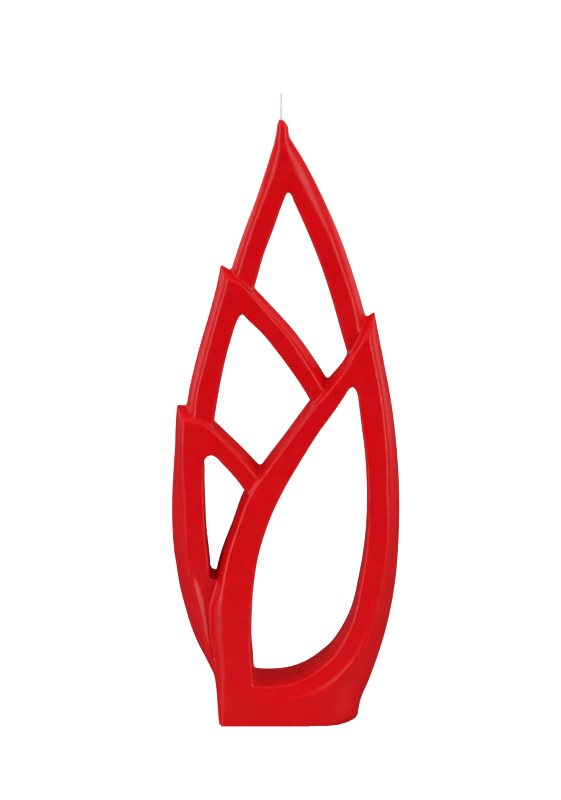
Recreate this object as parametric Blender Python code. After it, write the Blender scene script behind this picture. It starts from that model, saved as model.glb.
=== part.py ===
"""Openwork sculptural candle: four overlapping leaf-shaped loops cast as one wax body, with five cotton wicks.

Metres, +Z up, the front faces -Y, and the origin is the middle of the underside.
The leaves are laid out in millimetres on a nominal 350 mm tall, 131.6 mm wide drawing,
which the named sizes below stretch. Every leaf is the same shape front and back.
"""

import math

import bmesh
import bpy
from mathutils import Vector

# ---- Overall sizes ----
WAX_HEIGHT = 0.350  # underside to the tip of the wax
WIDTH = 0.1316  # widest point, across the two lower leaves
BASE_DEPTH = 0.060  # front to back, at the foot
WICK_LEAD = 0.0155  # wick standing clear of the wax

# ---- Wicks ----
WICK_D = 0.0020
WICK_GAP = 0.0003  # clearance between a wick and its bore, all round
WICK_SIDES = 8
BRANCH_LAP = 0.0016  # how far a branch bore reaches into the bore it leaves

# ---- Sections of an arm ----
RIDGE_LAND = 2.2  # mm from the ridge to the full depth of the face
EDGE_ROUND = 1.3  # mm of rounding along the edge of an opening
OPENING_DRAFT = 0.35  # mm by which an opening narrows at the middle plane
STATION = 6.4  # mm between sections along an arm
WICK_STATION = 0.0095  # between sections along a wick

# ---- The nominal drawing ----
NOMINAL_HEIGHT = 350.0
NOMINAL_WIDTH = 131.6
NOMINAL_DEPTH = 60.0

# Half depth of each leaf, as (height mm, half depth mm) at two heights.
# A lower leaf always stands proud of the leaf that it crosses.
TOP_DEPTH = ((340.0, 5.2), (225.0, 12.4))
MIDDLE_DEPTH = ((262.0, 13.6), (176.0, 16.2))
LEFT_DEPTH = ((184.0, 18.6), (40.0, 23.6))
FRONT_DEPTH = ((236.0, 16.6), (0.0, 30.0))

# Each row of a leaf is one section across its arm, in mm:
#   outer edge x, z | ridge x, z | opening edge x, z | half width of the outer edge | bulge of the outer side
# "*" starts a row where the curve turns a sharp corner, and two in a row bound a flat facet.
# The bulge is left out where the side is plain.
TOP_LEAF = [
    (-36.5, 247.0, -32.0, 246.5, -20.5, 246.5, 0.5),
    (-33.0, 258.5, -28.4, 258.0, -17.0, 258.5, 0.5),
    (-29.0, 271.0, -24.8, 270.5, -13.6, 271.0, 0.5),
    (-23.6, 287.5, -19.6, 287.5, -7.8, 287.0, 0.5),
    (-17.5, 304.1, -12.9, 304.5, -2.1, 302.8, 0.5),
    (-11.7, 321.7, -6.8, 320.0, 0.4, 307.9, 0.5),
    ("*", -6.2, 339.8, -2.9, 336.5, 1.1, 308.6, 0.5),
    ("*", 2.9, 339.8, 0.4, 334.0, 1.9, 308.6, 0.5),
    (12.6, 323.2, 6.2, 319.0, 2.6, 307.9, 0.5),
    (22.1, 304.1, 15.6, 301.8, 5.8, 302.0, 0.5),
    (30.8, 284.2, 25.4, 284.0, 13.4, 284.8, 0.5),
    (37.3, 265.4, 32.4, 265.0, 20.6, 266.6, 0.5),
    (43.3, 245.5, 38.8, 246.0, 27.3, 246.0, 0.5),
    (47.6, 229.5, 42.2, 229.0, 32.2, 227.5, 0.5),
    (50.6, 214.5, 45.6, 213.0, 38.0, 207.5, 0.5),
]
MIDDLE_LEAF = [
    (-58.3, 165.0, -53.2, 165.0, -43.0, 163.5, 0.5),
    (-58.0, 177.5, -53.0, 177.0, -41.7, 176.5, 0.5),
    (-56.6, 189.5, -52.4, 189.5, -39.8, 189.0, 0.5),
    (-53.2, 205.5, -48.8, 205.0, -36.4, 206.5, 0.5),
    (-48.8, 222.1, -44.3, 221.5, -32.1, 223.5, 0.5),
    (-43.8, 239.0, -39.8, 238.5, -27.5, 236.2, 0.5),
    (-39.2, 257.0, -35.2, 254.0, -25.8, 238.2, 0.5),
    ("*", -37.5, 266.3, -33.6, 260.2, -25.2, 238.5, 0.5),
    ("*", -31.8, 262.8, -32.4, 259.8, -24.4, 238.5, 0.5),
    (-25.0, 259.5, -25.8, 256.8, -23.2, 237.4, 0.5),
    (-17.1, 251.6, -18.2, 249.0, -19.6, 234.0, 0.5),
    (-7.2, 241.2, -9.4, 238.8, -14.2, 228.9, 0.5),
    (4.7, 228.0, 2.0, 225.6, -5.8, 218.8, 0.5),
    (14.8, 214.2, 11.4, 211.6, 3.2, 206.5, 0.5),
    (22.6, 202.0, 18.8, 200.2, 10.6, 194.8, 0.5),
    (27.0, 194.0, 23.6, 191.4, 17.0, 183.5, 0.5),
]
LEFT_LEAF = [
    (-39.0, 20.0, -39.0, 22.5, -37.5, 25.0, 3.0),
    (-44.8, 33.5, -42.3, 36.0, -40.6, 38.0, 1.0),
    (-51.3, 46.3, -46.0, 49.0, -43.1, 51.0, 0.5),
    (-59.2, 69.7, -51.4, 73.0, -45.7, 74.5, 0.5),
    (-63.4, 88.5, -55.6, 90.0, -44.6, 90.5, 0.5),
    (-65.3, 108.0, -57.6, 108.5, -45.5, 107.5, 0.5),
    (-65.9, 128.3, -58.4, 128.5, -47.0, 127.0, 0.5),
    (-65.2, 147.0, -60.0, 147.0, -47.4, 146.0, 0.5),
    (-64.2, 162.0, -60.4, 162.0, -46.6, 154.6, 0.5),
    (-63.8, 174.5, -60.2, 172.5, -44.8, 156.6, 0.5),
    ("*", -63.0, 184.4, -59.6, 179.2, -43.6, 157.1, 0.5),
    ("*", -55.4, 183.6, -54.2, 177.6, -42.2, 157.1, 0.5),
    (-48.8, 180.0, -47.8, 176.4, -40.2, 156.0, 0.5),
    (-41.5, 174.6, -41.2, 171.8, -36.4, 152.6, 0.5),
    (-32.6, 166.4, -33.4, 163.8, -33.0, 149.2, 0.5),
    (-23.5, 157.6, -24.6, 154.8, -28.0, 143.4, 0.5),
    (-15.9, 149.8, -18.0, 147.0, -22.6, 136.0, 0.5),
    (-9.6, 143.6, -12.4, 140.4, -18.2, 129.0, 0.5),
]
FRONT_LEAF = [
    # down the right arm
    ("*", 51.2, 238.2, 48.8, 226.0, 39.4, 196.6, 0.5),
    (53.0, 228.5, 50.2, 219.5, 40.6, 194.4, 0.5),
    (56.3, 210.4, 52.8, 207.0, 42.0, 186.0, 0.5),
    (60.7, 186.9, 56.4, 186.0, 43.4, 174.0, 0.5),
    (63.9, 161.5, 58.8, 161.0, 45.6, 155.0, 0.5),
    (65.5, 136.0, 59.4, 136.5, 46.6, 133.0, 0.5),
    (65.4, 108.0, 59.3, 109.0, 45.6, 106.0, 0.5),
    (62.8, 78.5, 55.0, 80.0, 41.4, 79.5, 0.5),
    (58.2, 54.5, 49.4, 58.0, 36.2, 59.5, 0.5),
    (52.4, 34.6, 42.4, 41.4, 31.0, 49.0, 0.5, 0.1),
    (47.4, 20.6, 35.2, 32.2, 26.0, 41.6, 0.5, 0.5),
    (43.2, 10.4, 28.8, 25.9, 20.6, 36.4, 0.5, 0.9),
    # the foot: its outer edge lies on the ground and spreads to the full depth
    ("*", 41.6, 0.0, 22.6, 21.8, 15.6, 32.4, 0.5, 1.0),
    ("*", 30.0, 0.0, 17.6, 19.4, 10.8, 29.4, 29.6, 1.0),
    (14.0, 0.0, 9.2, 16.6, 4.0, 26.6, 29.6),
    (-2.0, 0.0, -2.0, 15.6, -3.0, 25.2, 29.6),
    (-20.0, 0.0, -19.0, 15.6, -12.0, 25.0, 29.6),
    ("*", -35.6, 0.0, -33.4, 16.0, -17.0, 26.6, 29.6),
    ("*", -39.4, 0.0, -33.8, 16.8, -18.0, 28.4, 0.5),
    # up the left arm
    (-40.0, 10.0, -34.6, 22.5, -19.2, 34.0, 0.5),
    (-41.4, 22.5, -35.6, 32.5, -20.0, 42.0, 2.0),
    (-44.4, 35.0, -36.5, 43.0, -20.3, 51.0, 7.0),
    (-48.0, 52.0, -37.1, 57.0, -20.1, 61.5, 9.0),
    (-48.6, 69.0, -37.4, 72.0, -19.5, 73.0, 5.0),
    (-45.6, 83.0, -37.0, 85.0, -18.2, 84.5, 1.5),
    # up the diagonal to the tip
    (-38.4, 98.0, -34.8, 99.5, -16.4, 96.5, 0.5),
    (-31.4, 116.6, -29.0, 116.4, -13.2, 109.0, 0.5),
    (-24.6, 134.2, -21.8, 134.4, -8.4, 122.8, 0.5),
    (-13.4, 150.6, -10.8, 150.4, -1.4, 137.4, 0.5),
    (-0.2, 168.2, 2.0, 167.6, 8.6, 154.6, 0.5),
    (13.3, 187.0, 15.4, 185.4, 19.2, 171.2, 0.5),
    (24.6, 200.4, 26.2, 197.6, 28.2, 183.6, 0.5),
    (33.6, 211.6, 34.6, 208.4, 34.4, 192.6, 0.5),
    (39.4, 223.2, 40.6, 218.6, 37.2, 196.2, 0.5),
    ("*", 45.4, 234.6, 46.0, 226.4, 38.2, 197.0, 0.5),
]

# The stub of wax round the wick, as (height mm, radius mm).
STUB_X = -1.9
STUB = [(334.0, 5.0), (339.6, 4.4), (342.6, 3.6), (346.6, 3.4), (348.8, 2.7), (350.0, 1.9)]
STUB_SIDES = 12

# Wick runs down the middle of the arms, in mm (x, z). The first starts at the tip of the wax.
LEFT_RUN = [
    (-2.6, 350.0), (-2.6, 339.0), (-4.6, 324.0), (-9.2, 304.5), (-14.8, 289.0), (-20.9, 271.5),
    (-27.0, 256.5), (-32.0, 246.5), (-38.6, 228.0), (-44.4, 207.5), (-48.6, 188.5), (-51.8, 173.0),
    (-55.0, 153.5), (-56.3, 128.0), (-55.0, 103.0), (-52.6, 80.0), (-47.6, 58.0), (-41.6, 38.0),
    (-35.8, 19.0), (-34.0, 0.0),
]
RIGHT_RUN = [
    (1.8, 329.0), (6.8, 314.5), (14.0, 302.0), (22.0, 284.4), (29.0, 266.0), (35.4, 245.6),
    (40.2, 229.0), (44.6, 214.0), (50.2, 188.0), (54.6, 160.0), (56.0, 136.0), (55.4, 107.0),
    (52.2, 79.0), (47.0, 57.0), (40.4, 39.0), (33.0, 20.0), (29.0, 0.0),
]
MIDDLE_BRANCH = [(-24.5, 246.0), (-18.0, 242.0), (-10.6, 234.6), (-0.6, 223.2), (9.0, 210.0), (16.6, 198.4)]
LEFT_BRANCH = [(-43.8, 168.0), (-34.6, 158.8), (-25.8, 150.0)]
FRONT_RUN = [
    (36.4, 206.5), (26.6, 192.6), (16.4, 179.2), (4.4, 161.6), (-7.2, 144.4), (-16.2, 128.8),
    (-22.2, 112.8), (-27.4, 96.0), (-29.6, 78.0), (-29.8, 58.0), (-28.4, 36.0), (-26.4, 18.0), (-25.4, 0.0),
]


def clear_scene():
    for thing in list(bpy.data.objects):
        bpy.data.objects.remove(thing, do_unlink=True)


def material(name, colour, roughness):
    """A plain Principled material."""
    mat = bpy.data.materials.new(name)
    mat.use_nodes = True
    mat.diffuse_color = (*colour, 1.0)
    shader = next(node for node in mat.node_tree.nodes if node.type == "BSDF_PRINCIPLED")
    shader.inputs["Base Color"].default_value = (*colour, 1.0)
    shader.inputs["Roughness"].default_value = roughness
    return mat


def lay(x, z, y=0.0):
    """A point of the nominal drawing, in metres, stretched to the named sizes."""
    return Vector((
        x * WIDTH / NOMINAL_WIDTH,
        y * BASE_DEPTH / NOMINAL_DEPTH,
        z * WAX_HEIGHT / NOMINAL_HEIGHT,
    ))


def along(points, corners, counts, closed):
    """Points on a smooth curve through `points`, with counts[i] steps after point i; it breaks at the corners."""
    size = len(points)
    last = size if closed else size - 1

    def tangent(i, j):
        """Direction at point i for the span between i and its neighbour j, per span."""
        span = points[j % size] - points[i % size]
        other = points[(2 * i - j) % size]
        at_end = not closed and not 0 <= 2 * i - j < size
        if i % size in corners or at_end:
            return span if j > i else -span
        before = points[i % size] - other
        a, b = before.length, span.length
        if a < 1e-9 or b < 1e-9:
            return span if j > i else -span
        slope = (before / a * b + span / b * a) / (a + b)
        return slope * b if j > i else -slope * b

    found = []
    for i in range(last):
        start, end = points[i], points[(i + 1) % size]
        leave, arrive = tangent(i, i + 1), tangent(i + 1, i)
        for step in range(counts[i]):
            t = step / counts[i]
            found.append(
                start * (2 * t**3 - 3 * t**2 + 1)
                + leave * (t**3 - 2 * t**2 + t)
                + end * (3 * t**2 - 2 * t**3)
                + arrive * (t**3 - t**2)
            )
    if not closed:
        found.append(points[-1].copy())
    return found


def half_depth(line, z):
    (z0, d0), (z1, d1) = line
    return d0 + (z - z0) * (d1 - d0) / (z1 - z0)


def section(outer, ridge, opening, edge, bulge, depth):
    """One section across an arm in nominal mm, as (x, y, z): the front half and then the back half."""
    across = opening - ridge
    width = max(across.length, 0.01)
    across = across / width
    land = min(RIDGE_LAND, width * 0.35)
    rounding = min(EDGE_ROUND, width * 0.25)
    full = half_depth(depth, ridge.y)
    inner = half_depth(depth, opening.y)
    side = outer.lerp(ridge, 0.82 - 0.32 * bulge)
    front = [
        (outer, edge),
        (side, edge + (full - edge) * (0.84 + 0.13 * bulge)),
        (ridge, full * 0.982),
        (ridge + across * land, full),
        (opening - across * rounding, inner),
        (opening - across * OPENING_DRAFT, inner - rounding * 0.8),
    ]
    ring = [(p.x, -y, p.y) for p, y in front]
    ring.append((opening.x, 0.0, opening.y))
    ring.extend((p.x, y, p.y) for p, y in reversed(front))
    return ring


def new_object(name, mesh_bm, mat):
    bmesh.ops.triangulate(mesh_bm, faces=mesh_bm.faces[:])
    bmesh.ops.recalc_face_normals(mesh_bm, faces=mesh_bm.faces[:])
    mesh = bpy.data.meshes.new(name)
    mesh_bm.to_mesh(mesh)
    mesh_bm.free()
    mesh.materials.append(mat)
    thing = bpy.data.objects.new(name, mesh)
    bpy.context.collection.objects.link(thing)
    return thing


def bridge(bm, rings, closed):
    """Faces between neighbouring rings of equal length, each ring running round one section."""
    count = len(rings[0])
    for i in range(len(rings) if closed else len(rings) - 1):
        here, there = rings[i], rings[(i + 1) % len(rings)]
        for k in range(count):
            m = (k + 1) % count
            bm.faces.new((here[k], here[m], there[m], there[k]))


def leaf(name, rows, depth, closed, mat):
    """A leaf-shaped loop: sections lofted round it, closed on itself or capped at both ends."""
    corners = {i for i, row in enumerate(rows) if row[0] == "*"}
    rows = [row[1:] if row[0] == "*" else row for row in rows]
    outer = [Vector((row[0], row[1])) for row in rows]
    ridge = [Vector((row[2], row[3])) for row in rows]
    opening = [Vector((row[4], row[5])) for row in rows]
    edge = [Vector((row[6], row[7] if len(row) > 7 else 0.0)) for row in rows]
    size = len(rows)
    counts = []
    for i in range(size if closed else size - 1):
        j = (i + 1) % size
        longest = max((line[j] - line[i]).length for line in (outer, ridge, opening))
        facet = i in corners and j in corners
        counts.append(1 if facet else max(1, round(longest / STATION)))
    curves = [along(line, corners, counts, closed) for line in (outer, ridge, opening)]
    edges = along(edge, set(range(size)), counts, closed)
    bm = bmesh.new()
    rings = []
    for o, r, i, e in zip(*curves, edges):
        ring = section(o, r, i, e.x, e.y, depth)
        rings.append([bm.verts.new(lay(x, max(z, 0.0), y)) for x, y, z in ring])
    bridge(bm, rings, closed)
    if not closed:
        for ring in (rings[0], rings[-1]):
            last = len(ring) - 1
            for k in range(last // 2 - 1):
                bm.faces.new((ring[k], ring[k + 1], ring[last - k - 1], ring[last - k]))
            middle = last // 2
            bm.faces.new((ring[middle - 1], ring[middle], ring[middle + 1]))
    return new_object(name, bm, mat)


def stub(mat):
    """The short round stub of wax that holds the wick at the tip."""
    bm = bmesh.new()
    rings = []
    for z, radius in STUB:
        centre = lay(STUB_X, z)
        ring = []
        for k in range(STUB_SIDES):
            turn = 2 * math.pi * k / STUB_SIDES
            offset = Vector((math.cos(turn), math.sin(turn), 0.0)) * radius / 1000
            ring.append(bm.verts.new(centre + offset))
        rings.append(ring)
    bridge(bm, rings, False)
    bm.faces.new(rings[0])
    bm.faces.new(rings[-1])
    return new_object("stub", bm, mat)


def run(points):
    """A smooth wick path through hand-laid points in the middle plane, in metres."""
    flat = [Vector((p.x, p.z)) for p in points]
    counts = [max(1, round((b - a).length / WICK_STATION)) for a, b in zip(flat, flat[1:])]
    return [Vector((p.x, 0.0, p.y)) for p in along(flat, set(), counts, False)]


def tube(name, path, radius, mat, before=0.0, after=0.0):
    """A round cord along a path in the middle plane, made longer at either end by `before` and `after`."""
    path = list(path)
    if before:
        path.insert(0, path[0] + (path[0] - path[1]).normalized() * before)
    if after:
        path.append(path[-1] + (path[-1] - path[-2]).normalized() * after)
    bm = bmesh.new()
    rings = []
    for i, point in enumerate(path):
        ahead, behind = path[min(i + 1, len(path) - 1)], path[max(i - 1, 0)]
        on_ground = abs(point.z) < 1e-6
        direction = Vector((0, 0, -1)) if on_ground else (ahead - behind).normalized()
        side = direction.cross(Vector((0, 1, 0)))
        ring = []
        for k in range(WICK_SIDES):
            turn = 2 * math.pi * (k + 0.5) / WICK_SIDES
            ring.append(bm.verts.new(
                point + side * math.cos(turn) * radius + Vector((0, math.sin(turn) * radius, 0))
            ))
        rings.append(ring)
    bridge(bm, rings, False)
    bm.faces.new(rings[0])
    bm.faces.new(rings[-1])
    return new_object(name, bm, mat)


def combine(target, other, operation):
    """Apply an exact Boolean and drop the other solid."""
    modifier = target.modifiers.new(operation.lower(), "BOOLEAN")
    modifier.operation = operation
    modifier.solver = "EXACT"
    modifier.object = other
    bpy.context.view_layer.update()
    graph = bpy.context.evaluated_depsgraph_get()
    mesh = bpy.data.meshes.new_from_object(target.evaluated_get(graph))
    target.modifiers.clear()
    old = target.data
    target.data = mesh
    mesh.name = target.name
    bpy.data.meshes.remove(old)
    bpy.data.objects.remove(other, do_unlink=True)


def tidy(thing):
    """Weld coincident points, drop slivers and shade smooth up to a crease."""
    bm = bmesh.new()
    bm.from_mesh(thing.data)
    bmesh.ops.remove_doubles(bm, verts=bm.verts[:], dist=0.00003)
    bmesh.ops.dissolve_degenerate(bm, edges=bm.edges[:], dist=0.00001)
    bmesh.ops.triangulate(bm, faces=bm.faces[:])
    bm.to_mesh(thing.data)
    bm.free()
    thing.data.shade_smooth()
    thing.data.set_sharp_from_angle(angle=math.radians(32))


def beside(path, near, toward):
    """The point at arm's length from a wick path, level with `near`, on the side of `toward`."""
    here = min(path, key=lambda p: (p - near).length)
    spot = path.index(here)
    direction = (path[min(spot + 1, len(path) - 1)] - path[max(spot - 1, 0)]).normalized()
    out = toward - here
    out = (out - direction * out.dot(direction)).normalized()
    return here + out * (WICK_D + WICK_GAP)


def build():
    clear_scene()
    wax = material("red_wax", (0.60, 0.004, 0.008), 0.32)
    cotton = material("cotton_wick", (0.74, 0.71, 0.62), 0.9)

    body = leaf("wax_body", TOP_LEAF, TOP_DEPTH, False, wax)
    combine(body, stub(wax), "UNION")
    combine(body, leaf("middle", MIDDLE_LEAF, MIDDLE_DEPTH, False, wax), "UNION")
    combine(body, leaf("left", LEFT_LEAF, LEFT_DEPTH, False, wax), "UNION")
    combine(body, leaf("front", FRONT_LEAF, FRONT_DEPTH, True, wax), "UNION")

    # Wick paths. A branch starts, and may end, beside the run that it leaves or meets.
    left = run([lay(x, z) for x, z in LEFT_RUN])
    right_points = [lay(x, z) for x, z in RIGHT_RUN]
    right = run([beside(left, lay(-2.6, 341.0), lay(4.0, 338.0)), *right_points])
    front_points = [lay(x, z) for x, z in FRONT_RUN]
    front = run([beside(right, lay(43.0, 219.5), front_points[0]), *front_points])
    branch = [lay(x, z) for x, z in MIDDLE_BRANCH]
    middle = run([
        beside(left, lay(-32.0, 246.5), branch[0]), *branch, beside(front, lay(24.0, 189.4), branch[-1])
    ])
    branch = [lay(x, z) for x, z in LEFT_BRANCH]
    lower = run([
        beside(left, lay(-51.8, 173.0), branch[0]), *branch, beside(front, lay(-13.2, 134.6), branch[-1])
    ])

    radius = WICK_D / 2
    runs = [
        ("wick_left", left, WICK_LEAD, 0.004, WICK_LEAD, 0.0),
        ("wick_right", right, BRANCH_LAP, 0.004, 0.0, 0.0),
        ("wick_front", front, BRANCH_LAP, 0.004, 0.0, 0.0),
        ("wick_middle", middle, BRANCH_LAP, BRANCH_LAP, 0.0, 0.0),
        ("wick_lower_left", lower, BRANCH_LAP, BRANCH_LAP, 0.0, 0.0),
    ]
    for name, path, before, after, lead, tail in runs:
        combine(body, tube("bore", path, radius + WICK_GAP, wax, before, after), "DIFFERENCE")
        wick = tube(name, path, radius, cotton, lead, tail)
        tidy(wick)
    tidy(body)


build()
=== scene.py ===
# %% [markdown]
# # An openwork candle of overlapping leaves
#
# This script dresses a measured model of a cast wax candle. The model gives the places and the sizes.
# Here each piece is made again at the fineness that light shows: soft ridges where hot wax has rounded
# them, fillets where one leaf runs into the next, and a plaited cotton wick.

# %% Tools and the measured model
import math

import bmesh
import bpy
import numpy as np
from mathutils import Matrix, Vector


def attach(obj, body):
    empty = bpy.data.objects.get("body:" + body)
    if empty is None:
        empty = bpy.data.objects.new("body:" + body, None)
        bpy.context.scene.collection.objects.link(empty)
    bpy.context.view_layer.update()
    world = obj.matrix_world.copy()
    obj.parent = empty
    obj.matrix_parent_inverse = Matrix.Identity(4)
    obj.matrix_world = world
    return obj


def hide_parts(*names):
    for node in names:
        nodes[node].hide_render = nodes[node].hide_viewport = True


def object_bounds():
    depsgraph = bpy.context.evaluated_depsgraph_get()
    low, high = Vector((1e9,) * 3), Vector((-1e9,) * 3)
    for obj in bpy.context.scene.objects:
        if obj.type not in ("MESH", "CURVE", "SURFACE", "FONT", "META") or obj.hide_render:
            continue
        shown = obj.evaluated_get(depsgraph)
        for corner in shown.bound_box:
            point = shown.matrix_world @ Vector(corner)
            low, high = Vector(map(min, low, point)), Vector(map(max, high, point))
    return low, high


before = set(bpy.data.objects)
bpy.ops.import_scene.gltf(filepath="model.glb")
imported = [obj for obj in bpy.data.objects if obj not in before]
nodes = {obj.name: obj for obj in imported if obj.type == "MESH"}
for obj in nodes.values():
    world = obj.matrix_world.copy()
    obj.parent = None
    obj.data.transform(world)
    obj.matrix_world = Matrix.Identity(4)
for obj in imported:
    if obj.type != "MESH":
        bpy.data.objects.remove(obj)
cad_low, cad_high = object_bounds()
MM = 0.001
print("candle", [round((b - a) / MM, 1) for a, b in zip(cad_low, cad_high)], "mm")

# %% [markdown]
# ## The camera
#
# A sculpture like this is shown from the front and from slightly above, with a long lens, so that the
# arms keep their true widths from top to foot. The distance sets the perspective, and the lens is then
# worked out from how tall a field the frame should hold.

# %% Camera
VIEW_RISE = math.radians(8.8)  # height of the camera above the candle's middle
VIEW_DISTANCE = 3.2
FIELD_HEIGHT = 463.2 * MM  # what the frame holds from top to bottom, at the candle
SENSOR_MM = 36.0
LOOK_AT = Vector((-2.9 * MM, 0.0, 186.9 * MM))

camera_data = bpy.data.cameras.new("camera")
camera_data.sensor_width = SENSOR_MM
camera_data.lens = SENSOR_MM * VIEW_DISTANCE / FIELD_HEIGHT
camera_data.clip_end = 50.0
camera = bpy.data.objects.new("camera", camera_data)
bpy.context.collection.objects.link(camera)
toward_camera = Vector((0.0, -math.cos(VIEW_RISE), math.sin(VIEW_RISE)))
camera.location = LOOK_AT + toward_camera * VIEW_DISTANCE
camera.rotation_euler = (-toward_camera).to_track_quat("-Z", "Y").to_euler()
bpy.context.scene.camera = camera
print("lens", round(camera_data.lens), "mm")

# %% [markdown]
# ## Colours and nodes
#
# Colours are easiest to pick as the hex values of a screen, but light is added up in linear values, so
# one function turns the first into the second. A second one adds a shader node with its settings and
# links in a single line, which keeps each finish short enough to read. A third starts an empty material.


# %% Three small helpers
def linear(hex_colour):
    """An sRGB hex colour as linear RGBA."""
    channels = [int(hex_colour[i : i + 2], 16) / 255 for i in (1, 3, 5)]
    return (*[c / 12.92 if c <= 0.04045 else ((c + 0.055) / 1.055) ** 2.4 for c in channels], 1.0)


def add(tree, kind, links=None, values=None, **settings):
    """A shader node of that kind: `settings` on the node, `values` and `links` on its sockets."""
    node = tree.nodes.new(kind)
    for key, value in settings.items():
        setattr(node, key, value)
    for key, value in (values or {}).items():
        node.inputs[key].default_value = value
    for key, source in (links or {}).items():
        tree.links.new(source, node.inputs[key])
    return node


def blank_material(name):
    """An empty node material and its output node."""
    material = bpy.data.materials.new(name)
    material.use_nodes = True
    material.node_tree.nodes.clear()
    return material, material.node_tree, material.node_tree.nodes.new("ShaderNodeOutputMaterial")


# %% [markdown]
# ## Candle wax
#
# The body is dyed paraffin and stearin, cast in a two-part mould and then overdipped in a clear hot coat.
# Wax refracts like a soft plastic (IOR about 1.43), a little light travels inside it before it comes
# back out, and the overdip gives a soft gloss that is never quite even and mirrors about two thirds of what
# a clear plastic would. Three patterns carry that: cloudy dye about 6 mm across, slow ripples about 9 mm
# across where the coat ran, and a fine skin about 1 mm across. The two mould halves leave a hair of flash
# along the middle plane.

# %% Wax material
WAX_RED = "#d6000c"
WAX_DEEP = "#cc000a"  # where the dye is thicker
CLOUD_MM, RIPPLE_MM, SKIN_MM = 6.0, 9.0, 1.1
SEAM_MM = 0.35  # half width of the flash line


def per_metre(size_mm):
    """The scale that makes a noise pattern about size_mm across on an object in metres."""
    return 1.0 / (size_mm * MM)


def wax_material():
    material, tree, output = blank_material("dyed_cast_candle_wax")
    place = add(tree, "ShaderNodeTexCoord").outputs["Object"]
    cloud = add(tree, "ShaderNodeTexNoise", {"Vector": place},
                {"Scale": per_metre(CLOUD_MM), "Detail": 3.0, "Roughness": 0.55})
    spread = add(tree, "ShaderNodeValToRGB", {"Fac": cloud.outputs["Fac"]})
    spread.color_ramp.elements[0].position, spread.color_ramp.elements[1].position = 0.30, 0.72
    spread.color_ramp.elements[0].color = linear(WAX_DEEP)
    spread.color_ramp.elements[1].color = linear(WAX_RED)
    ripple = add(tree, "ShaderNodeTexNoise", {"Vector": place},
                 {"Scale": per_metre(RIPPLE_MM), "Detail": 1.0, "Roughness": 0.4})
    skin = add(tree, "ShaderNodeTexNoise", {"Vector": place},
               {"Scale": per_metre(SKIN_MM), "Detail": 2.0, "Roughness": 0.5})
    gloss = add(tree, "ShaderNodeMapRange", {"Value": ripple.outputs["Fac"]},
                {"From Min": 0.3, "From Max": 0.7, "To Min": 0.31, "To Max": 0.39})
    axes = add(tree, "ShaderNodeSeparateXYZ", {"Vector": place})
    off_middle = add(tree, "ShaderNodeMath", {0: axes.outputs["Y"]}, operation="ABSOLUTE")
    flash = add(tree, "ShaderNodeMapRange", {"Value": off_middle.outputs["Value"]},
                {"From Min": 0.0, "From Max": SEAM_MM * MM, "To Min": 1.0, "To Max": 0.0})
    waves = add(tree, "ShaderNodeBump", {"Height": ripple.outputs["Fac"]},
                {"Strength": 0.35, "Distance": 0.25 * MM})
    grain = add(tree, "ShaderNodeBump", {"Height": skin.outputs["Fac"], "Normal": waves.outputs["Normal"]},
                {"Strength": 0.25, "Distance": 0.03 * MM})
    seam = add(tree, "ShaderNodeBump",
               {"Height": flash.outputs["Result"], "Normal": grain.outputs["Normal"]},
               {"Strength": 0.6, "Distance": 0.12 * MM})
    wax = add(tree, "ShaderNodeBsdfPrincipled",
              {"Base Color": spread.outputs["Color"], "Roughness": gloss.outputs["Result"],
               "Normal": seam.outputs["Normal"]},
              {"IOR": 1.43, "Specular IOR Level": 0.34, "Subsurface Weight": 0.10,
               "Subsurface Radius": (1.0, 0.12, 0.08), "Subsurface Scale": 2.5 * MM})
    tree.links.new(wax.outputs["BSDF"], output.inputs["Surface"])
    return material


wax = wax_material()
print("wax nodes", len(wax.node_tree.nodes))

# %% [markdown]
# ## The leaves on the drawing board
#
# Each leaf is a loop of wax. Rather than sculpt it by eye, it is laid out like a boat's lines: a row of
# sections across the arm, each with the place of its outer edge, its ridge and the edge of the opening, in
# millimetres. Smooth curves through those rows give every section in between.

# %% Lines of the leaves
# Outer edge x, z | ridge x, z | opening edge x, z | half width of the outer edge | bulge of the outer side |
# drop, which is how far the face is lowered at the opening's edge. The last two are left out where they
# are nought.
# "*" starts a row where the curves turn a sharp corner, and two in a row bound a flat facet.
TOP_LEAF = [
    (-36.5, 247.0, -32.0, 246.5, -20.1, 246.5, 0.5),
    (-33.0, 258.5, -28.4, 258.0, -16.6, 258.5, 0.5),
    (-29.0, 271.0, -24.8, 270.5, -13.1, 271.0, 0.5),
    (-23.3, 287.5, -19.3, 287.5, -7.3, 286.6, 0.5),
    (-17.1, 304.1, -12.6, 304.5, -1.7, 302.4, 0.5),
    (-11.3, 321.7, -6.5, 320.0, 0.5, 307.5, 0.5),
    ("*", -5.8, 339.6, -2.7, 336.3, 1.1, 308.6, 0.5),
    ("*", 2.7, 339.6, 0.4, 334.0, 1.9, 308.6, 0.5),
    (12.6, 323.2, 6.2, 319.0, 2.6, 307.9, 0.5),
    (22.1, 304.1, 15.6, 301.8, 5.5, 301.7, 0.5),
    (30.8, 284.2, 25.4, 284.0, 13.1, 284.7, 0.5),
    (37.6, 265.4, 32.6, 265.0, 20.3, 266.5, 0.5),
    (43.7, 245.5, 39.1, 246.0, 27.0, 246.0, 0.5),
    (47.9, 229.5, 42.5, 229.0, 32.2, 227.5, 0.5),
    (50.6, 214.5, 45.6, 213.0, 38.0, 207.5, 0.5),
]
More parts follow.
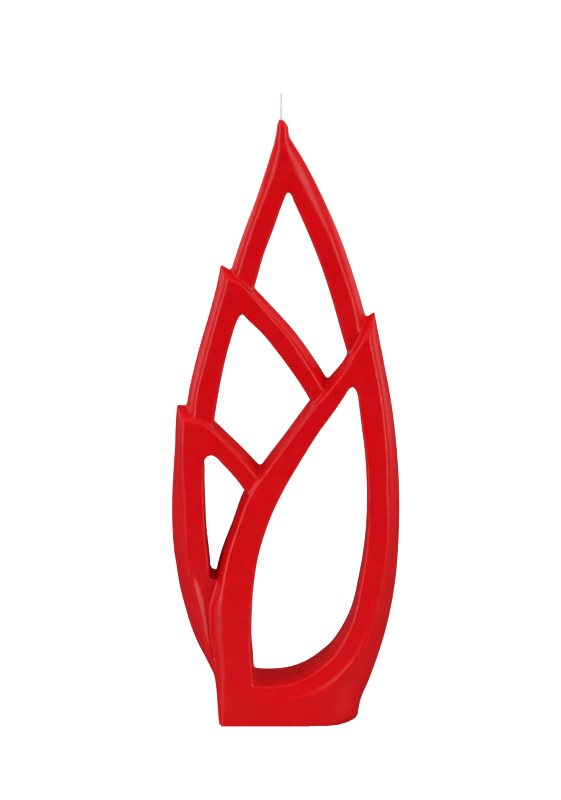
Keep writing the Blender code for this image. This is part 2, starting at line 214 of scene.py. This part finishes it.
MIDDLE_LEAF = [
    (-58.3, 165.0, -53.2, 165.0, -43.0, 163.5, 0.5),
    (-58.0, 177.5, -53.0, 177.0, -41.3, 176.5, 0.5),
    (-56.6, 189.5, -52.4, 189.5, -39.3, 189.0, 0.5),
    (-53.2, 205.5, -48.8, 205.0, -35.9, 206.5, 0.5),
    (-48.8, 222.1, -44.3, 221.5, -31.6, 223.3, 0.5),
    (-43.8, 239.0, -39.8, 238.5, -27.2, 235.9, 0.5),
    (-39.2, 257.0, -35.2, 254.0, -25.8, 238.2, 0.5),
    ("*", -37.5, 266.3, -33.6, 260.2, -25.2, 238.5, 0.5),
    ("*", -31.8, 262.8, -32.4, 259.8, -24.4, 238.5, 0.5),
    (-25.0, 259.5, -25.8, 256.8, -23.2, 236.9, 0.5),
    (-17.1, 251.6, -18.2, 249.0, -19.8, 233.5, 0.5),
    (-7.2, 241.2, -9.4, 238.8, -14.4, 228.4, 0.5),
    (4.7, 228.0, 2.0, 225.6, -6.1, 218.4, 0.5),
    (14.8, 214.2, 11.4, 211.6, 3.0, 206.1, 0.5),
    (22.6, 202.0, 18.8, 200.2, 10.6, 194.8, 0.5),
    (27.0, 194.0, 23.6, 191.4, 17.0, 183.5, 0.5),
]
LEFT_LEAF = [
    (-39.0, 20.0, -39.0, 22.5, -32.0, 25.0, 3.0, 0.0, 1.0),
    (-45.7, 33.0, -42.8, 36.0, -33.0, 38.0, 1.0, 0.0, 1.8),
    (-52.3, 46.0, -46.4, 49.0, -35.0, 51.0, 0.5, 0.0, 2.4),
    (-59.9, 69.7, -51.6, 73.0, -36.0, 75.5, 0.5, 0.0, 3.2),
    (-62.1, 79.0, -53.8, 81.0, -36.0, 83.2, 0.5, 0.0, 3.0),
    (-63.1, 85.5, -55.0, 86.5, -43.3, 85.2, 0.5, 0.0, 2.2),
    (-63.9, 91.0, -56.0, 92.0, -44.0, 91.0, 0.5, 0.0, 1.2),
    (-65.0, 98.0, -57.0, 99.0, -44.8, 98.5, 0.5, 0.0, 1.1),
    (-65.8, 108.0, -57.8, 108.5, -45.8, 107.5, 0.5, 0.0, 0.8),
    (-66.1, 128.3, -58.4, 128.5, -46.7, 127.0, 0.5, 0.0, 0.5),
    (-65.2, 147.0, -60.0, 147.0, -47.1, 146.0, 0.5, 0.0, 0.2),
    (-64.2, 162.0, -60.4, 162.0, -46.6, 154.6, 0.5),
    (-63.8, 174.5, -60.2, 172.5, -44.8, 156.6, 0.5),
    ("*", -63.0, 184.4, -59.6, 179.2, -43.6, 157.1, 0.5),
    ("*", -55.4, 183.6, -54.2, 177.6, -42.2, 157.1, 0.5),
    (-48.8, 179.6, -47.8, 176.4, -40.2, 156.0, 0.5),
    (-41.5, 174.2, -41.2, 171.8, -36.6, 152.2, 0.5),
    (-32.6, 166.4, -33.4, 163.8, -33.3, 148.8, 0.5),
    (-23.5, 157.6, -24.6, 154.8, -28.3, 143.0, 0.5),
    (-15.9, 149.8, -18.0, 147.0, -22.9, 135.6, 0.5),
    (-9.6, 143.6, -12.4, 140.4, -18.2, 129.0, 0.5),
]
FRONT_LEAF = [
    # down the right arm
    ("*", 51.5, 239.0, 48.9, 226.5, 39.5, 196.6, 0.5),
    (53.4, 228.5, 50.4, 219.5, 40.7, 194.4, 0.5),
    (56.9, 210.4, 53.0, 207.0, 42.3, 186.0, 0.5),
    (61.3, 186.9, 56.6, 186.0, 43.9, 174.0, 0.5),
    (64.5, 161.5, 59.0, 161.0, 46.3, 155.0, 0.5),
    (66.2, 136.0, 59.7, 136.5, 47.4, 133.0, 0.5),
    (66.1, 108.0, 59.6, 109.0, 46.6, 106.0, 0.5, 0.0, 0.6),
    (63.9, 78.5, 55.4, 80.0, 42.7, 79.3, 0.5, 0.0, 1.1),
    (59.4, 54.5, 49.8, 57.6, 37.6, 58.7, 0.5, 0.0, 1.6),
    (53.6, 34.6, 42.6, 41.0, 32.1, 47.7, 0.5, 0.1, 2.0),
    (48.5, 20.6, 35.4, 31.8, 26.9, 40.2, 0.5, 0.3, 2.4),
    (44.2, 10.4, 28.8, 25.5, 21.1, 34.9, 0.5, 0.55, 2.6),
    # the foot: its outer edge lies on the ground and spreads to the full depth
    ("*", 42.2, 0.0, 22.6, 21.4, 15.9, 30.9, 0.5, 0.75, 2.6),
    (37.0, 0.0, 20.8, 20.5, 14.2, 29.9, 15.5, 0.75, 2.5),
    (31.6, 0.0, 18.7, 19.5, 12.4, 28.7, 24.5, 0.75, 2.4),
    (25.0, 0.0, 15.4, 18.2, 9.2, 27.2, 28.9, 0.6, 2.2),
    (14.0, 0.0, 9.2, 16.2, 4.0, 25.2, 29.6, 0.0, 1.7),
    (-2.0, 0.0, -2.0, 14.6, -3.0, 23.7, 29.6, 0.0, 0.8),
    (-20.0, 0.0, -19.0, 14.0, -12.4, 23.2, 29.6, 0.0, 0.2),
    ("*", -37.6, 0.0, -34.2, 15.0, -18.0, 23.5, 29.6),
    ("*", -38.7, 0.0, -34.8, 16.0, -18.5, 25.2, 25.0, 0.6),
    # up the left arm
    (-39.6, 10.0, -35.2, 22.5, -18.9, 33.0, 20.0, 0.6),
    (-40.7, 22.5, -35.8, 32.5, -19.7, 42.0, 17.0, 0.4),
    (-43.0, 35.0, -36.5, 43.0, -20.0, 51.0, 16.0, 0.2),
    (-46.0, 52.0, -37.1, 57.0, -19.8, 61.5, 17.0),
    (-45.4, 69.0, -37.4, 72.0, -19.2, 73.0, 16.0),
    (-41.0, 84.0, -36.4, 86.0, -17.9, 84.5, 8.0),
    # up the diagonal to the tip
    (-37.9, 97.0, -34.2, 98.5, -16.1, 96.5, 0.5),
    (-30.7, 116.3, -28.6, 116.2, -12.9, 108.7, 0.5),
    (-24.2, 134.0, -21.6, 134.2, -8.0, 122.5, 0.5),
    (-12.9, 150.2, -10.5, 150.2, -1.0, 137.1, 0.5),
    (0.3, 167.8, 2.3, 167.3, 9.0, 154.3, 0.5),
    (13.8, 186.6, 15.7, 185.1, 19.5, 170.9, 0.5),
    (25.0, 200.0, 26.5, 197.3, 28.5, 183.3, 0.5),
    (34.0, 211.2, 34.8, 208.2, 34.5, 192.2, 0.5),
    (39.4, 223.2, 40.6, 218.6, 37.2, 196.2, 0.5),
    ("*", 45.4, 234.6, 46.0, 226.4, 38.2, 197.0, 0.5),
]

# Half depth of each leaf as (height, half depth) at two heights. A lower leaf stands proud of a higher one.
TOP_DEPTH = ((340.0, 5.2), (225.0, 12.4))
MIDDLE_DEPTH = ((262.0, 13.6), (176.0, 16.2))
LEFT_DEPTH = ((184.0, 18.6), (40.0, 23.6))
FRONT_DEPTH = ((236.0, 16.6), (0.0, 30.0))
print("rows", [len(rows) for rows in (TOP_LEAF, MIDDLE_LEAF, LEFT_LEAF, FRONT_LEAF)])


# %% [markdown]
# ## From rows to a solid
#
# A curve that passes through its points, with its speed matched to their spacing, doesn't wobble where
# the rows are uneven. Each section is a closed ring: up the convex outer side, over a soft ridge, across the
# face, over the opening's edge and back down the other half. Low on the candle the face steps down just
# inside its ridge, so the ridge stands up and catches the light. Every corner of the ring is eased with a
# short parabola, because nothing that has been dipped in hot wax keeps a hard edge.


# %% Curves and sections
# sizes in millimetres, and shares of the way across an arm
STATION_MM = 2.0  # between sections along an arm
OPENING_DRAFT = 0.4  # how far the opening narrows towards the middle plane
SIDE_AT, SIDE_DEPTH = 0.42, 0.60  # the outer side's middle: share of the way to the ridge, and of its depth
BULGE_OUT, BULGE_DEEPER = 0.36, 0.38  # what a full bulge takes from the first and adds to the second
STEP_END, STEP_SHARE = 0.25, 0.9  # where the step down beside a ridge ends, and its share of the drop
SIDE_EASE = 99.0  # past any corner's reach, so the outer side is all curve
RIDGE_EASE = 5.2  # how far from the ridge its rounding starts, less where a drop makes the ridge crisper
STEP_EASE, OPENING_EASE = 1.2, 1.6


def along(points, corners, counts, closed):
    """Points on a smooth curve through `points`, with counts[i] steps after point i."""
    size = len(points)

    def leaving(i, j):
        """The curve's direction at point i towards its neighbour j, for the span between them."""
        span = points[j % size] - points[i % size]
        back = 2 * i - j
        if i % size in corners or (not closed and not 0 <= back < size):
            return span
        before = points[i % size] - points[back % size]
        a, b = before.length, span.length
        if min(a, b) < 1e-9:
            return span
        return (before / a * b + span / b * a) / (a + b) * b

    found = []
    for i in range(size if closed else size - 1):
        start, end = points[i], points[(i + 1) % size]
        leave, arrive = leaving(i, i + 1), -leaving(i + 1, i)
        for step in range(counts[i]):
            t = step / counts[i]
            found.append(
                start * (2 * t**3 - 3 * t**2 + 1) + leave * (t**3 - 2 * t**2 + t)
                + end * (3 * t**2 - 2 * t**3) + arrive * (t**3 - t**2)
            )
    if not closed:
        found.append(points[-1].copy())
    return found


def between(line, z):
    """The value at height z on a straight line through two (height, value) points."""
    (z0, v0), (z1, v1) = line
    return v0 + (z - z0) * (v1 - v0) / (z1 - z0)


def eased(corners, reaches, steps=6):
    """A path with parabolas for its inner corners, each `reach` long from its corner, at most half way."""
    path = [corners[0]]
    for before, corner, after, reach in zip(corners, corners[1:], corners[2:], reaches):
        back, on = before - corner, after - corner
        start = corner + back * min(0.5, reach / max(back.length, 1e-6))
        end = corner + on * min(0.5, reach / max(on.length, 1e-6))
        for k in range(steps + 1):
            t = k / steps
            path.append(start.lerp(corner, t).lerp(corner.lerp(end, t), t))
    return [*path, corners[-1]]


def section(outer, ridge, opening, edge, bulge, drop, depth):
    """One ring across an arm, in millimetres. A drop is mostly a step down just inside the ridge."""
    full, inner = between(depth, ridge.y), between(depth, opening.y) - drop
    step = ridge.lerp(opening, STEP_END)
    step_depth = full + (between(depth, opening.y) - full) * STEP_END - STEP_SHARE * drop
    middle = opening + (opening - ridge).normalized() * OPENING_DRAFT
    side = outer.lerp(ridge, SIDE_AT - BULGE_OUT * bulge)
    side_depth = edge + (full - edge) * (SIDE_DEPTH + BULGE_DEEPER * bulge)
    corners = [
        Vector((outer.x, -edge, outer.y)),
        Vector((side.x, -side_depth, side.y)),
        Vector((ridge.x, -full, ridge.y)),
        Vector((step.x, -step_depth, step.y)),
        Vector((opening.x, -inner, opening.y)),
        Vector((middle.x, 0.0, middle.y)),
    ]
    front = eased(corners, (SIDE_EASE, RIDGE_EASE / (1.0 + drop), STEP_EASE, OPENING_EASE))
    return front + [Vector((p.x, -p.y, p.z)) for p in reversed(front[:-1])]


def solid(name, bm):
    """A linked object from a bmesh, with its faces turned outward."""
    bmesh.ops.triangulate(bm, faces=bm.faces[:])
    bmesh.ops.recalc_face_normals(bm, faces=bm.faces[:])
    mesh = bpy.data.meshes.new(name)
    bm.to_mesh(mesh)
    bm.free()
    thing = bpy.data.objects.new(name, mesh)
    bpy.context.collection.objects.link(thing)
    return thing


def bridge(bm, rings, closed):
    """Faces between neighbouring rings."""
    count = len(rings[0])
    for i in range(len(rings) if closed else len(rings) - 1):
        here, there = rings[i], rings[(i + 1) % len(rings)]
        for k in range(count):
            m = (k + 1) % count
            bm.faces.new((here[k], here[m], there[m], there[k]))


def leaf(name, rows, depth, closed):
    """A leaf-shaped loop of wax. One that isn't closed gets a cap at each end."""
    corners = {i for i, row in enumerate(rows) if row[0] == "*"}
    rows = [row[1:] if row[0] == "*" else row for row in rows]
    lines = [[Vector((row[k], row[k + 1])) for row in rows] for k in (0, 2, 4)]
    extra = [Vector((*row[6:], 0.0, 0.0)[:3]) for row in rows]  # edge half width, bulge, drop
    size = len(rows)
    counts = []
    for i in range(size if closed else size - 1):
        longest = max((line[(i + 1) % size] - line[i]).length for line in lines)
        counts.append(max(1, round(longest / STATION_MM)))
    curves = [along(line, corners, counts, closed) for line in lines]
    extras = along(extra, set(range(size)), counts, closed)
    bm = bmesh.new()
    rings = []
    for outer, ridge, opening, more in zip(*curves, extras):
        ring = section(outer, ridge, opening, *more, depth)
        rings.append([bm.verts.new((x * MM, y * MM, max(z, 0.0) * MM)) for x, y, z in ring])
    bridge(bm, rings, closed)
    if not closed:
        for ring in (rings[0], rings[-1]):
            half = len(ring) // 2
            for k in range(half):
                across = [*ring[k : k + 2], ring[-k - 2], ring[-k - 1]]
                bm.faces.new(list(dict.fromkeys(across)))
    return solid(name, bm)


leaves = [
    leaf("top_leaf", TOP_LEAF, TOP_DEPTH, False),
    leaf("middle_leaf", MIDDLE_LEAF, MIDDLE_DEPTH, False),
    leaf("left_leaf", LEFT_LEAF, LEFT_DEPTH, False),
    leaf("front_leaf", FRONT_LEAF, FRONT_DEPTH, True),
]
print("leaf points", [len(thing.data.vertices) for thing in leaves])

# %% [markdown]
# ## The stub that holds the wick
#
# At the very tip the wax is drawn up round the wick in a short stub, cut off at a slant. It is a stack of
# rings that shrink and tilt near the top.

# %% Stub
STUB_SIDES = 32
# height, radius, centre x, fall from left to right across the ring
STUB_RINGS = [
    (333.0, 5.2, -1.8, 0.0),
    (338.5, 4.5, -1.8, 0.0),
    (341.0, 3.9, -1.8, 0.0),
    (344.0, 3.55, -1.7, 0.0),
    (345.9, 3.4, -1.7, 0.2),
    (347.3, 2.9, -1.8, 0.5),
    (348.7, 2.1, -2.1, 0.5),
    (350.2, 1.2, -2.4, 0.3),
]
print("stub up to", STUB_RINGS[-1][0], "mm")


def wax_stub():
    bm = bmesh.new()
    rings = []
    for height, radius, middle, fall in STUB_RINGS:
        ring = []
        for k in range(STUB_SIDES):
            turn = 2 * math.pi * k / STUB_SIDES
            x, y = math.cos(turn) * radius, math.sin(turn) * radius
            ring.append(bm.verts.new(((middle + x) * MM, y * MM, (height - fall * x / radius) * MM)))
        rings.append(ring)
    bridge(bm, rings, False)
    bm.faces.new(rings[0])
    bm.faces.new(rings[-1])
    return solid("wax_stub", bm)


# %% [markdown]
# ## One casting
#
# The four leaves and the stub are one pour of wax, so they are joined into one solid. The joined solid is
# then rebuilt as an even skin of small squares and relaxed. Relaxing an even skin rounds every ridge and
# fills every inner corner by the same small radius, which is just what a hot overdip does to a casting.

# %% Join, rebuild and relax the wax
SKIN_STEP = 0.8 * MM
RELAX_ROUNDS = 8


def apply_modifiers(thing):
    """Bake an object's modifiers into its mesh."""
    bpy.context.view_layer.update()
    graph = bpy.context.evaluated_depsgraph_get()
    mesh = bpy.data.meshes.new_from_object(thing.evaluated_get(graph))
    old = thing.data
    thing.modifiers.clear()
    thing.data = mesh
    bpy.data.meshes.remove(old)


def join(target, other, operation):
    """Boolean with another closed solid, which is then dropped."""
    modifier = target.modifiers.new("join", "BOOLEAN")
    modifier.operation = operation
    modifier.solver = "MANIFOLD"
    modifier.object = other
    apply_modifiers(target)
    bpy.data.objects.remove(other, do_unlink=True)


body = leaves[0]
for other in [*leaves[1:], wax_stub()]:
    join(body, other, "UNION")
body.name = "candle_body"
remesh = body.modifiers.new("even skin", "REMESH")
remesh.mode = "VOXEL"
remesh.voxel_size = SKIN_STEP
relax = body.modifiers.new("relax", "SMOOTH")
relax.factor = 0.5
relax.iterations = RELAX_ROUNDS
apply_modifiers(body)
print("wax skin", len(body.data.vertices), "points")

# %% [markdown]
# ## Bores and a flat foot
#
# The foot is trimmed on a hot plate, so it is dead flat. The wicks run in the wax, so the wax gets a bore
# round each of them: a copy of every measured wick, made slightly fatter, is cut out in one go.

# %% Trim the foot and bore the wax
FOOT_TRIM = 0.5 * MM
FACES_DOWN = -0.9  # the most a normal's z can be for its point to belong to the foot
BORE_MARGIN = 0.13 * MM
WELD = 1e-6  # metres within which two points of a measured mesh are one
wick_names = sorted(name for name in nodes if name.startswith("wick"))


def trim_foot(mesh):
    """Lay the skin's lowest points on the ground."""
    places, normals = (np.empty(len(mesh.vertices) * 3, np.float32) for _ in range(2))
    mesh.vertices.foreach_get("co", places)
    mesh.vertices.foreach_get("normal", normals)
    places, normals = places.reshape(-1, 3), normals.reshape(-1, 3)
    under = (places[:, 2] < FOOT_TRIM) & (normals[:, 2] < FACES_DOWN)
    places[under | (places[:, 2] < 0), 2] = 0.0
    mesh.vertices.foreach_set("co", places.ravel())
    mesh.update()


def wick_bores():
    """Every wick's surface, moved outward along its normals."""
    bm = bmesh.new()
    for name in wick_names:
        bm.from_mesh(nodes[name].data)
    bmesh.ops.remove_doubles(bm, verts=bm.verts[:], dist=WELD)
    bmesh.ops.recalc_face_normals(bm, faces=bm.faces[:])
    bm.normal_update()
    for vertex in bm.verts:
        vertex.co += vertex.normal * BORE_MARGIN
        if vertex.co.z < FOOT_TRIM:
            vertex.co.z = -FOOT_TRIM
    return solid("bores", bm)


trim_foot(body.data)
join(body, wick_bores(), "DIFFERENCE")
body.data.shade_smooth()
body.data.materials.clear()
body.data.materials.append(wax)
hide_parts("wax_body")
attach(body, "root")
print("bored for", len(wick_names), "wicks")

# %% [markdown]
# ## Cotton wick
#
# The wick is a flat plait of undyed cotton, primed in clear wax, so it looks off-white, dull and a little
# fuzzy. Close up it is three strands that cross in turn, so it is built as three tubes on the plait's own
# path: each strand swings from side to side once per pitch and from front to back twice.

# %% Wick material
COTTON, COTTON_SHADE = "#f4f3ee", "#dcd9d0"
FIBRE_MM = 0.12  # cotton fibres are about 0.02 mm, too fine to show, so these are drawn coarser


def cotton_material():
    material, tree, output = blank_material("primed_cotton_wick")
    place = add(tree, "ShaderNodeTexCoord").outputs["Object"]
    stretch = add(tree, "ShaderNodeMapping", {"Vector": place}, {"Scale": (1.0, 1.0, 0.25)})
    fibre = add(tree, "ShaderNodeTexNoise", {"Vector": stretch.outputs["Vector"]},
                {"Scale": per_metre(FIBRE_MM), "Detail": 2.0})
    tint = add(tree, "ShaderNodeValToRGB", {"Fac": fibre.outputs["Fac"]})
    tint.color_ramp.elements[0].position, tint.color_ramp.elements[1].position = 0.25, 0.6
    tint.color_ramp.elements[0].color = linear(COTTON_SHADE)
    tint.color_ramp.elements[1].color = linear(COTTON)
    rough = add(tree, "ShaderNodeBump", {"Height": fibre.outputs["Fac"]},
                {"Strength": 0.5, "Distance": 0.05 * MM})
    cotton = add(tree, "ShaderNodeBsdfPrincipled",
                 {"Base Color": tint.outputs["Color"], "Normal": rough.outputs["Normal"]},
                 {"Roughness": 0.75, "IOR": 1.53, "Sheen Weight": 0.3, "Sheen Roughness": 0.5})
    tree.links.new(cotton.outputs["BSDF"], output.inputs["Surface"])
    return material


cotton = cotton_material()
print("cotton nodes", len(cotton.node_tree.nodes))

# %% Plaited lead of the wick
# lengths in millimetres
PLAIT_PITCH = 3.4
PLAIT_SWING, PLAIT_LIFT = 0.52, 0.26  # from side to side, and from front to back
STRAND_RADIUS = 0.42
STRAND_SIDES = 10
END_TAPER = (0.86, 0.86, 0.6)  # the last rings of a strand, against its radius
PLAIT_STEP = 0.2
LEAD_START, LEAD_OVERLAP = 344.0, 0.4  # in the stub, where the plait takes over from the measured wick
LEAD_X = -2.6
TIP_TRIM = 0.3  # from the measured wick's end down to the plait's
SHARP_ANGLE = math.radians(50)
lead_top = cad_high[2] / MM - TIP_TRIM


def strand(bm, phase):
    """One strand of the plait, as a tube."""
    rings = []
    steps = round((lead_top - LEAD_START) / PLAIT_STEP)
    for i, taper in enumerate([1.0] * (steps + 1 - len(END_TAPER)) + list(END_TAPER)):
        z = LEAD_START + i * PLAIT_STEP
        turn = 2 * math.pi * z / PLAIT_PITCH + phase
        x, y = LEAD_X + PLAIT_SWING * math.sin(turn), PLAIT_LIFT * math.sin(2 * turn)
        radius = STRAND_RADIUS * taper
        ring = []
        for k in range(STRAND_SIDES):
            around = 2 * math.pi * k / STRAND_SIDES
            ring.append(bm.verts.new(
                ((x + radius * math.cos(around)) * MM, (y + radius * math.sin(around)) * MM, z * MM)
            ))
        rings.append(ring)
    bridge(bm, rings, False)
    bm.faces.new(rings[0])
    bm.faces.new(rings[-1])


def plaited_wick():
    """The measured left wick below the tip, and a plait where it shows."""
    bm = bmesh.new()
    bm.from_mesh(nodes["wick_left"].data)
    bmesh.ops.remove_doubles(bm, verts=bm.verts[:], dist=WELD)
    cut = bmesh.ops.bisect_plane(bm, geom=bm.verts[:] + bm.edges[:] + bm.faces[:], clear_outer=True,
                                 plane_co=(0, 0, (LEAD_START + LEAD_OVERLAP) * MM), plane_no=(0, 0, 1))
    rim = [item for item in cut["geom_cut"] if isinstance(item, bmesh.types.BMEdge)]
    bmesh.ops.contextual_create(bm, geom=rim)
    for k in range(3):
        strand(bm, 2 * math.pi * k / 3)
    return solid("plaited_wick", bm)


wick = plaited_wick()
wick.data.shade_smooth()
wick.data.set_sharp_from_angle(angle=SHARP_ANGLE)
wick.data.materials.append(cotton)
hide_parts("wick_left")
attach(wick, "root")
for name in wick_names:
    nodes[name].data.materials.clear()
    nodes[name].data.materials.append(cotton)
print("wick", len(wick.data.vertices), "points")

# %% [markdown]
# ## The table and what lies behind
#
# A white table in a white, softly lit studio. Wax this glossy would mirror all that white and turn pink,
# and a product studio keeps a red clean and deep with black felt and flags where the wax would mirror the
# room. Here the table does it by kind of ray: seen directly it is plain white, a mirror ray meets dark felt,
# and a ray of scattered light meets a light grey that throws some of it up under the arms and adds a faint
# painted glow of its own there. The world is white behind the candle and nearly dark to every other ray.
# Only the stage does this, not the candle.

# %% Floor
TABLE_FRONT, TABLE_BACK, TABLE_HALF = -0.42, 9.0, 6.0  # metres


def for_rays(tree, kind, these, others):
    """A shader that one kind of ray meets one way, and every other ray meets another way."""
    rays = add(tree, "ShaderNodeLightPath")
    return add(tree, "ShaderNodeMixShader", {0: rays.outputs[kind], 1: others, 2: these}).outputs[0]


def table_material():
    material, tree, output = blank_material("white_matt_table")
    seen = add(tree, "ShaderNodeBsdfPrincipled", None,
               {"Base Color": linear("#f0f0f0"), "Roughness": 0.9, "Specular IOR Level": 0.0,
                "Emission Color": linear("#ffffff"), "Emission Strength": 1.1})
    felt = add(tree, "ShaderNodeBsdfPrincipled", None,
               {"Base Color": linear("#303030"), "Roughness": 0.9, "Specular IOR Level": 0.0})
    # scattered rays meet a light grey that reflects light and also glows faintly: a painted glow that lights
    # the arms from below
    glowing_grey_bounce = add(tree, "ShaderNodeBsdfPrincipled", None,
                 {"Base Color": linear("#c8c8c8"), "Roughness": 0.9, "Specular IOR Level": 0.0,
                  "Emission Color": linear("#ffffff"), "Emission Strength": 0.05})
    unseen = for_rays(tree, "Is Glossy Ray", felt.outputs[0], glowing_grey_bounce.outputs[0])
    tree.links.new(for_rays(tree, "Is Camera Ray", seen.outputs[0], unseen), output.inputs["Surface"])
    return material


table_bm = bmesh.new()
table_corners = [
    (-TABLE_HALF, TABLE_FRONT, 0),
    (TABLE_HALF, TABLE_FRONT, 0),
    (TABLE_HALF, TABLE_BACK, 0),
    (-TABLE_HALF, TABLE_BACK, 0),
]
table_bm.faces.new([table_bm.verts.new(corner) for corner in table_corners])
table = solid("white_table", table_bm)
table.data.materials.append(table_material())
print("table", TABLE_BACK - TABLE_FRONT, "m deep")

# %% [markdown]
# ## Light
#
# Tall soft boxes at both sides, a little in front, are what the ridges and the drafted sides pick up as
# soft streaks. A low pair carries the streaks down to the foot, and a weaker pair behind gives the back
# the same. A wide ceiling, two walls and two fills light the faces evenly. They are kept out of
# reflections, as if they were too dim to be mirrored, so the streaks stay clear.


# %% Light
LIT_POINT = Vector((0.0, 0.0, 0.18))  # the middle of the candle


def soft_box(name, place, width, height, watts):
    """A white rectangular area light, in metres, turned to face the middle of the candle."""
    light = bpy.data.lights.new(name, "AREA")
    light.shape = "RECTANGLE"
    light.size, light.size_y = width, height
    light.energy = watts
    lamp = bpy.data.objects.new(name, light)
    lamp.location = place
    lamp.rotation_euler = (LIT_POINT - lamp.location).to_track_quat("-Z", "Y").to_euler()
    bpy.context.collection.objects.link(lamp)
    return lamp


for side in (-1, 1):
    soft_box("key", (side * 1.30, -0.84, 0.70), 0.65, 1.3, 10.8)
    soft_box("low_key", (side * 1.30, -0.84, 0.22), 0.55, 0.4, 3.6)
    soft_box("back_key", (side * 1.20, 1.00, 0.60), 0.7, 1.2, 2.4)

fills = [
    soft_box("front_fill", (0.0, -1.60, 0.55), 1.8, 1.4, 0.6),
    soft_box("back_fill", (0.0, 1.60, 0.55), 1.8, 1.4, 3.0),
    soft_box("ceiling", (0.0, 0.0, 1.60), 3.0, 3.0, 42.0),
    soft_box("left_wall", (-1.6, 0.1, 0.35), 1.4, 1.4, 2.2),
    soft_box("right_wall", (1.6, 0.1, 0.35), 1.4, 1.4, 2.2),
]
for fill in fills:
    fill.visible_glossy = False
print("fills", [round(fill.data.energy, 1) for fill in fills], "W")

# %% World
ROOM = 0.02  # brightness of the room's reflection, against 1.0 for white

world = bpy.data.worlds.new("studio")
world.use_nodes = True
sky = world.node_tree
sky.nodes.clear()
white = add(sky, "ShaderNodeBackground", None, {"Color": linear("#ffffff"), "Strength": 1.0})
room = add(sky, "ShaderNodeBackground", None, {"Color": linear("#ffffff"), "Strength": ROOM})
lit = for_rays(sky, "Is Camera Ray", white.outputs[0], room.outputs[0])
add(sky, "ShaderNodeOutputWorld", {"Surface": lit})
bpy.context.scene.world = world
bpy.context.scene.view_settings.view_transform = "Standard"
bpy.context.scene.view_settings.look = "None"
print("white background, reflections of the room at", ROOM)
